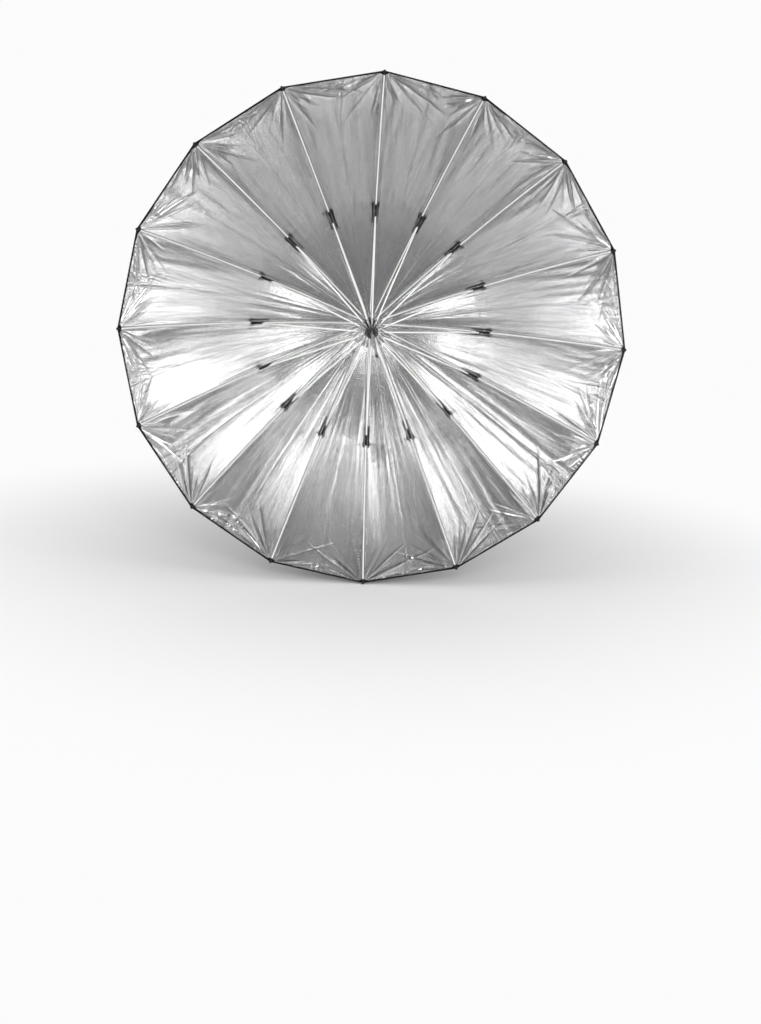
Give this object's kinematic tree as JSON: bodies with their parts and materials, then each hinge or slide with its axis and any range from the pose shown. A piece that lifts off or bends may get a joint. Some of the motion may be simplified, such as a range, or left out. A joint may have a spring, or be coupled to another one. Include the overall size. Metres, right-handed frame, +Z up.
{
  "type": "umbrella reflector",
  "caption": "Deep folding studio umbrella with a silver inside, black outside, thin white ribs, a sliding runner and a straight shaft that clamps into a flash or stand holder.",
  "frame": {"origin": "centre of the shaft's free end, where a holder's hole is entered", "axes": "+Y along the shaft from the free end to the crown, +Z up through the first rib; the bowl opens towards -Y"},
  "size_m": [1.3076, 0.9232, 1.3076],
  "materials": {
    "white_fibreglass": "satin",
    "black_plastic": "satin",
    "steel_tube": "satin",
    "steel_wire": "satin",
    "canopy_fabric": "satin"
  },
  "bodies": {
    "frame": {"shaft": "steel_tube", "shaft_end_plug": "black_plastic", "crown": "black_plastic", "crown_wire": "steel_wire", "crown_pin": "steel_wire", "crown_cap": "black_plastic", "canopy_washer": "black_plastic", "canopy": "canopy_fabric", "catch_pin": "steel_wire"},
    "rib_inner_01": {"rib_inner_01": "white_fibreglass"},
    "rib_outer_01": {"rib_outer_01": "white_fibreglass"},
    "stretcher_01": {"stretcher_01": "white_fibreglass"},
    "rib_inner_02": {"rib_inner_02": "white_fibreglass"},
    "rib_outer_02": {"rib_outer_02": "white_fibreglass"},
    "stretcher_02": {"stretcher_02": "white_fibreglass"},
    "rib_inner_03": {"rib_inner_03": "white_fibreglass"},
    "rib_outer_03": {"rib_outer_03": "white_fibreglass"},
    "stretcher_03": {"stretcher_03": "white_fibreglass"},
    "rib_inner_04": {"rib_inner_04": "white_fibreglass"},
    "rib_outer_04": {"rib_outer_04": "white_fibreglass"},
    "stretcher_04": {"stretcher_04": "white_fibreglass"},
    "rib_inner_05": {"rib_inner_05": "white_fibreglass"},
    "rib_outer_05": {"rib_outer_05": "white_fibreglass"},
    "stretcher_05": {"stretcher_05": "white_fibreglass"},
    "rib_inner_06": {"rib_inner_06": "white_fibreglass"},
    "rib_outer_06": {"rib_outer_06": "white_fibreglass"},
    "stretcher_06": {"stretcher_06": "white_fibreglass"},
    "rib_inner_07": {"rib_inner_07": "white_fibreglass"},
    "rib_outer_07": {"rib_outer_07": "white_fibreglass"},
    "stretcher_07": {"stretcher_07": "white_fibreglass"},
    "rib_inner_08": {"rib_inner_08": "white_fibreglass"},
    "rib_outer_08": {"rib_outer_08": "white_fibreglass"},
    "stretcher_08": {"stretcher_08": "white_fibreglass"},
    "rib_inner_09": {"rib_inner_09": "white_fibreglass"},
    "rib_outer_09": {"rib_outer_09": "white_fibreglass"},
    "stretcher_09": {"stretcher_09": "white_fibreglass"},
    "rib_inner_10": {"rib_inner_10": "white_fibreglass"},
    "rib_outer_10": {"rib_outer_10": "white_fibreglass"},
    "stretcher_10": {"stretcher_10": "white_fibreglass"},
    "rib_inner_11": {"rib_inner_11": "white_fibreglass"},
    "rib_outer_11": {"rib_outer_11": "white_fibreglass"},
    "stretcher_11": {"stretcher_11": "white_fibreglass"},
    "rib_inner_12": {"rib_inner_12": "white_fibreglass"},
    "rib_outer_12": {"rib_outer_12": "white_fibreglass"},
    "stretcher_12": {"stretcher_12": "white_fibreglass"},
    "rib_inner_13": {"rib_inner_13": "white_fibreglass"},
    "rib_outer_13": {"rib_outer_13": "white_fibreglass"},
    "stretcher_13": {"stretcher_13": "white_fibreglass"},
    "rib_inner_14": {"rib_inner_14": "white_fibreglass"},
    "rib_outer_14": {"rib_outer_14": "white_fibreglass"},
    "stretcher_14": {"stretcher_14": "white_fibreglass"},
    "rib_inner_15": {"rib_inner_15": "white_fibreglass"},
    "rib_outer_15": {"rib_outer_15": "white_fibreglass"},
    "stretcher_15": {"stretcher_15": "white_fibreglass"},
    "rib_inner_16": {"rib_inner_16": "white_fibreglass"},
    "rib_outer_16": {"rib_outer_16": "white_fibreglass"},
    "stretcher_16": {"stretcher_16": "white_fibreglass"},
    "runner": {"runner": "black_plastic", "runner_wire": "steel_wire"},
    "catch": {"runner_catch": "steel_wire"}
  },
  "joints": [
    {"name": "rib_01_fold", "type": "hinge", "parent": "frame", "child": "rib_inner_01", "pos_m": [0, 0.9, 0.014], "axis": [1, 0, 0], "range_deg": [0, 64], "deforming": ["runner_catch"]},
    {"name": "rib_01_flex", "type": "hinge", "parent": "rib_inner_01", "child": "rib_outer_01", "pos_m": [0, 0.75725, 0.34231], "axis": [1, 0, 0], "range_deg": [-23.26, 0]},
    {"name": "stretcher_01_swing", "type": "hinge", "parent": "rib_inner_01", "child": "stretcher_01", "pos_m": [0, 0.75883, 0.32582], "axis": [1, 0, 0], "range_deg": [-128.01, 0]},
    {"name": "rib_02_fold", "type": "hinge", "parent": "frame", "child": "rib_inner_02", "pos_m": [0.00536, 0.9, 0.01293], "axis": [0.9239, 0, -0.3827], "range_deg": [0, 64]},
    {"name": "rib_02_flex", "type": "hinge", "parent": "rib_inner_02", "child": "rib_outer_02", "pos_m": [0.131, 0.75725, 0.31625], "axis": [0.9239, 0, -0.3827], "range_deg": [-23.26, 0]},
    {"name": "stretcher_02_swing", "type": "hinge", "parent": "rib_inner_02", "child": "stretcher_02", "pos_m": [0.12469, 0.75883, 0.30102], "axis": [0.9239, 0, -0.3827], "range_deg": [-128.01, 0]},
    {"name": "rib_03_fold", "type": "hinge", "parent": "frame", "child": "rib_inner_03", "pos_m": [0.0099, 0.9, 0.0099], "axis": [0.7071, 0, -0.7071], "range_deg": [0, 64]},
    {"name": "rib_03_flex", "type": "hinge", "parent": "rib_inner_03", "child": "rib_outer_03", "pos_m": [0.24205, 0.75725, 0.24205], "axis": [0.7071, 0, -0.7071], "range_deg": [-23.26, 0]},
    {"name": "stretcher_03_swing", "type": "hinge", "parent": "rib_inner_03", "child": "stretcher_03", "pos_m": [0.23039, 0.75883, 0.23039], "axis": [0.7071, 0, -0.7071], "range_deg": [-128.01, 0]},
    {"name": "rib_04_fold", "type": "hinge", "parent": "frame", "child": "rib_inner_04", "pos_m": [0.01293, 0.9, 0.00536], "axis": [0.3827, 0, -0.9239], "range_deg": [0, 64]},
    {"name": "rib_04_flex", "type": "hinge", "parent": "rib_inner_04", "child": "rib_outer_04", "pos_m": [0.31625, 0.75725, 0.131], "axis": [0.3827, 0, -0.9239], "range_deg": [-23.26, 0]},
    {"name": "stretcher_04_swing", "type": "hinge", "parent": "rib_inner_04", "child": "stretcher_04", "pos_m": [0.30102, 0.75883, 0.12469], "axis": [0.3827, 0, -0.9239], "range_deg": [-128.01, 0]},
    {"name": "rib_05_fold", "type": "hinge", "parent": "frame", "child": "rib_inner_05", "pos_m": [0.014, 0.9, 0], "axis": [0, 0, -1], "range_deg": [0, 64]},
    {"name": "rib_05_flex", "type": "hinge", "parent": "rib_inner_05", "child": "rib_outer_05", "pos_m": [0.34231, 0.75725, 0], "axis": [0, 0, -1], "range_deg": [-23.26, 0]},
    {"name": "stretcher_05_swing", "type": "hinge", "parent": "rib_inner_05", "child": "stretcher_05", "pos_m": [0.32582, 0.75883, 0], "axis": [0, 0, -1], "range_deg": [-128.01, 0]},
    {"name": "rib_06_fold", "type": "hinge", "parent": "frame", "child": "rib_inner_06", "pos_m": [0.01293, 0.9, -0.00536], "axis": [-0.3827, 0, -0.9239], "range_deg": [0, 64]},
    {"name": "rib_06_flex", "type": "hinge", "parent": "rib_inner_06", "child": "rib_outer_06", "pos_m": [0.31625, 0.75725, -0.131], "axis": [-0.3827, 0, -0.9239], "range_deg": [-23.26, 0]},
    {"name": "stretcher_06_swing", "type": "hinge", "parent": "rib_inner_06", "child": "stretcher_06", "pos_m": [0.30102, 0.75883, -0.12469], "axis": [-0.3827, 0, -0.9239], "range_deg": [-128.01, 0]},
    {"name": "rib_07_fold", "type": "hinge", "parent": "frame", "child": "rib_inner_07", "pos_m": [0.0099, 0.9, -0.0099], "axis": [-0.7071, 0, -0.7071], "range_deg": [0, 64]},
    {"name": "rib_07_flex", "type": "hinge", "parent": "rib_inner_07", "child": "rib_outer_07", "pos_m": [0.24205, 0.75725, -0.24205], "axis": [-0.7071, 0, -0.7071], "range_deg": [-23.26, 0]},
    {"name": "stretcher_07_swing", "type": "hinge", "parent": "rib_inner_07", "child": "stretcher_07", "pos_m": [0.23039, 0.75883, -0.23039], "axis": [-0.7071, 0, -0.7071], "range_deg": [-128.01, 0]},
    {"name": "rib_08_fold", "type": "hinge", "parent": "frame", "child": "rib_inner_08", "pos_m": [0.00536, 0.9, -0.01293], "axis": [-0.9239, 0, -0.3827], "range_deg": [0, 64]},
    {"name": "rib_08_flex", "type": "hinge", "parent": "rib_inner_08", "child": "rib_outer_08", "pos_m": [0.131, 0.75725, -0.31625], "axis": [-0.9239, 0, -0.3827], "range_deg": [-23.26, 0]},
    {"name": "stretcher_08_swing", "type": "hinge", "parent": "rib_inner_08", "child": "stretcher_08", "pos_m": [0.12469, 0.75883, -0.30102], "axis": [-0.9239, 0, -0.3827], "range_deg": [-128.01, 0]},
    {"name": "rib_09_fold", "type": "hinge", "parent": "frame", "child": "rib_inner_09", "pos_m": [0, 0.9, -0.014], "axis": [-1, 0, 0], "range_deg": [0, 64]},
    {"name": "rib_09_flex", "type": "hinge", "parent": "rib_inner_09", "child": "rib_outer_09", "pos_m": [0, 0.75725, -0.34231], "axis": [-1, 0, 0], "range_deg": [-23.26, 0]},
    {"name": "stretcher_09_swing", "type": "hinge", "parent": "rib_inner_09", "child": "stretcher_09", "pos_m": [0, 0.75883, -0.32582], "axis": [-1, 0, 0], "range_deg": [-128.01, 0]},
    {"name": "rib_10_fold", "type": "hinge", "parent": "frame", "child": "rib_inner_10", "pos_m": [-0.00536, 0.9, -0.01293], "axis": [-0.9239, 0, 0.3827], "range_deg": [0, 64]},
    {"name": "rib_10_flex", "type": "hinge", "parent": "rib_inner_10", "child": "rib_outer_10", "pos_m": [-0.131, 0.75725, -0.31625], "axis": [-0.9239, 0, 0.3827], "range_deg": [-23.26, 0]},
    {"name": "stretcher_10_swing", "type": "hinge", "parent": "rib_inner_10", "child": "stretcher_10", "pos_m": [-0.12469, 0.75883, -0.30102], "axis": [-0.9239, 0, 0.3827], "range_deg": [-128.01, 0]},
    {"name": "rib_11_fold", "type": "hinge", "parent": "frame", "child": "rib_inner_11", "pos_m": [-0.0099, 0.9, -0.0099], "axis": [-0.7071, 0, 0.7071], "range_deg": [0, 64]},
    {"name": "rib_11_flex", "type": "hinge", "parent": "rib_inner_11", "child": "rib_outer_11", "pos_m": [-0.24205, 0.75725, -0.24205], "axis": [-0.7071, 0, 0.7071], "range_deg": [-23.26, 0]},
    {"name": "stretcher_11_swing", "type": "hinge", "parent": "rib_inner_11", "child": "stretcher_11", "pos_m": [-0.23039, 0.75883, -0.23039], "axis": [-0.7071, 0, 0.7071], "range_deg": [-128.01, 0]},
    {"name": "rib_12_fold", "type": "hinge", "parent": "frame", "child": "rib_inner_12", "pos_m": [-0.01293, 0.9, -0.00536], "axis": [-0.3827, 0, 0.9239], "range_deg": [0, 64]},
    {"name": "rib_12_flex", "type": "hinge", "parent": "rib_inner_12", "child": "rib_outer_12", "pos_m": [-0.31625, 0.75725, -0.131], "axis": [-0.3827, 0, 0.9239], "range_deg": [-23.26, 0]},
    {"name": "stretcher_12_swing", "type": "hinge", "parent": "rib_inner_12", "child": "stretcher_12", "pos_m": [-0.30102, 0.75883, -0.12469], "axis": [-0.3827, 0, 0.9239], "range_deg": [-128.01, 0]},
    {"name": "rib_13_fold", "type": "hinge", "parent": "frame", "child": "rib_inner_13", "pos_m": [-0.014, 0.9, 0], "axis": [0, 0, 1], "range_deg": [0, 64]},
    {"name": "rib_13_flex", "type": "hinge", "parent": "rib_inner_13", "child": "rib_outer_13", "pos_m": [-0.34231, 0.75725, 0], "axis": [0, 0, 1], "range_deg": [-23.26, 0]},
    {"name": "stretcher_13_swing", "type": "hinge", "parent": "rib_inner_13", "child": "stretcher_13", "pos_m": [-0.32582, 0.75883, 0], "axis": [0, 0, 1], "range_deg": [-128.01, 0]},
    {"name": "rib_14_fold", "type": "hinge", "parent": "frame", "child": "rib_inner_14", "pos_m": [-0.01293, 0.9, 0.00536], "axis": [0.3827, 0, 0.9239], "range_deg": [0, 64]},
    {"name": "rib_14_flex", "type": "hinge", "parent": "rib_inner_14", "child": "rib_outer_14", "pos_m": [-0.31625, 0.75725, 0.131], "axis": [0.3827, 0, 0.9239], "range_deg": [-23.26, 0]},
    {"name": "stretcher_14_swing", "type": "hinge", "parent": "rib_inner_14", "child": "stretcher_14", "pos_m": [-0.30102, 0.75883, 0.12469], "axis": [0.3827, 0, 0.9239], "range_deg": [-128.01, 0]},
    {"name": "rib_15_fold", "type": "hinge", "parent": "frame", "child": "rib_inner_15", "pos_m": [-0.0099, 0.9, 0.0099], "axis": [0.7071, 0, 0.7071], "range_deg": [0, 64]},
    {"name": "rib_15_flex", "type": "hinge", "parent": "rib_inner_15", "child": "rib_outer_15", "pos_m": [-0.24205, 0.75725, 0.24205], "axis": [0.7071, 0, 0.7071], "range_deg": [-23.26, 0]},
    {"name": "stretcher_15_swing", "type": "hinge", "parent": "rib_inner_15", "child": "stretcher_15", "pos_m": [-0.23039, 0.75883, 0.23039], "axis": [0.7071, 0, 0.7071], "range_deg": [-128.01, 0]},
    {"name": "rib_16_fold", "type": "hinge", "parent": "frame", "child": "rib_inner_16", "pos_m": [-0.00536, 0.9, 0.01293], "axis": [0.9239, 0, 0.3827], "range_deg": [0, 64]},
    {"name": "rib_16_flex", "type": "hinge", "parent": "rib_inner_16", "child": "rib_outer_16", "pos_m": [-0.131, 0.75725, 0.31625], "axis": [0.9239, 0, 0.3827], "range_deg": [-23.26, 0]},
    {"name": "stretcher_16_swing", "type": "hinge", "parent": "rib_inner_16", "child": "stretcher_16", "pos_m": [-0.12469, 0.75883, 0.30102], "axis": [0.9239, 0, 0.3827], "range_deg": [-128.01, 0]},
    {"name": "runner_travel", "type": "hinge", "parent": "stretcher_01", "child": "runner", "pos_m": [0, 0.61767, 0.014], "axis": [1, 0, 0], "range_deg": [0, 64.01]},
    {"name": "catch_press", "type": "hinge", "parent": "frame", "child": "catch", "pos_m": [0, 0.55367, 0], "axis": [-1, 0, 0], "range_deg": [0, 7]}
  ],
  "couplings": [
    {"joint": "rib_01_flex", "follows": "rib_01_fold", "ratio": -0.36328},
    {"joint": "stretcher_01_swing", "follows": "rib_01_fold", "ratio": -2},
    {"joint": "rib_02_fold", "follows": "rib_01_fold", "ratio": 1},
    {"joint": "rib_02_flex", "follows": "rib_01_fold", "ratio": -0.36328},
    {"joint": "stretcher_02_swing", "follows": "rib_01_fold", "ratio": -2},
    {"joint": "rib_03_fold", "follows": "rib_01_fold", "ratio": 1},
    {"joint": "rib_03_flex", "follows": "rib_01_fold", "ratio": -0.36328},
    {"joint": "stretcher_03_swing", "follows": "rib_01_fold", "ratio": -2},
    {"joint": "rib_04_fold", "follows": "rib_01_fold", "ratio": 1},
    {"joint": "rib_04_flex", "follows": "rib_01_fold", "ratio": -0.36328},
    {"joint": "stretcher_04_swing", "follows": "rib_01_fold", "ratio": -2},
    {"joint": "rib_05_fold", "follows": "rib_01_fold", "ratio": 1},
    {"joint": "rib_05_flex", "follows": "rib_01_fold", "ratio": -0.36328},
    {"joint": "stretcher_05_swing", "follows": "rib_01_fold", "ratio": -2},
    {"joint": "rib_06_fold", "follows": "rib_01_fold", "ratio": 1},
    {"joint": "rib_06_flex", "follows": "rib_01_fold", "ratio": -0.36328},
    {"joint": "stretcher_06_swing", "follows": "rib_01_fold", "ratio": -2},
    {"joint": "rib_07_fold", "follows": "rib_01_fold", "ratio": 1},
    {"joint": "rib_07_flex", "follows": "rib_01_fold", "ratio": -0.36328},
    {"joint": "stretcher_07_swing", "follows": "rib_01_fold", "ratio": -2},
    {"joint": "rib_08_fold", "follows": "rib_01_fold", "ratio": 1},
    {"joint": "rib_08_flex", "follows": "rib_01_fold", "ratio": -0.36328},
    {"joint": "stretcher_08_swing", "follows": "rib_01_fold", "ratio": -2},
    {"joint": "rib_09_fold", "follows": "rib_01_fold", "ratio": 1},
    {"joint": "rib_09_flex", "follows": "rib_01_fold", "ratio": -0.36328},
    {"joint": "stretcher_09_swing", "follows": "rib_01_fold", "ratio": -2},
    {"joint": "rib_10_fold", "follows": "rib_01_fold", "ratio": 1},
    {"joint": "rib_10_flex", "follows": "rib_01_fold", "ratio": -0.36328},
    {"joint": "stretcher_10_swing", "follows": "rib_01_fold", "ratio": -2},
    {"joint": "rib_11_fold", "follows": "rib_01_fold", "ratio": 1},
    {"joint": "rib_11_flex", "follows": "rib_01_fold", "ratio": -0.36328},
    {"joint": "stretcher_11_swing", "follows": "rib_01_fold", "ratio": -2},
    {"joint": "rib_12_fold", "follows": "rib_01_fold", "ratio": 1},
    {"joint": "rib_12_flex", "follows": "rib_01_fold", "ratio": -0.36328},
    {"joint": "stretcher_12_swing", "follows": "rib_01_fold", "ratio": -2},
    {"joint": "rib_13_fold", "follows": "rib_01_fold", "ratio": 1},
    {"joint": "rib_13_flex", "follows": "rib_01_fold", "ratio": -0.36328},
    {"joint": "stretcher_13_swing", "follows": "rib_01_fold", "ratio": -2},
    {"joint": "rib_14_fold", "follows": "rib_01_fold", "ratio": 1},
    {"joint": "rib_14_flex", "follows": "rib_01_fold", "ratio": -0.36328},
    {"joint": "stretcher_14_swing", "follows": "rib_01_fold", "ratio": -2},
    {"joint": "rib_15_fold", "follows": "rib_01_fold", "ratio": 1},
    {"joint": "rib_15_flex", "follows": "rib_01_fold", "ratio": -0.36328},
    {"joint": "stretcher_15_swing", "follows": "rib_01_fold", "ratio": -2},
    {"joint": "rib_16_fold", "follows": "rib_01_fold", "ratio": 1},
    {"joint": "rib_16_flex", "follows": "rib_01_fold", "ratio": -0.36328},
    {"joint": "stretcher_16_swing", "follows": "rib_01_fold", "ratio": -2},
    {"joint": "runner_travel", "follows": "rib_01_fold", "ratio": 1}
  ]
}
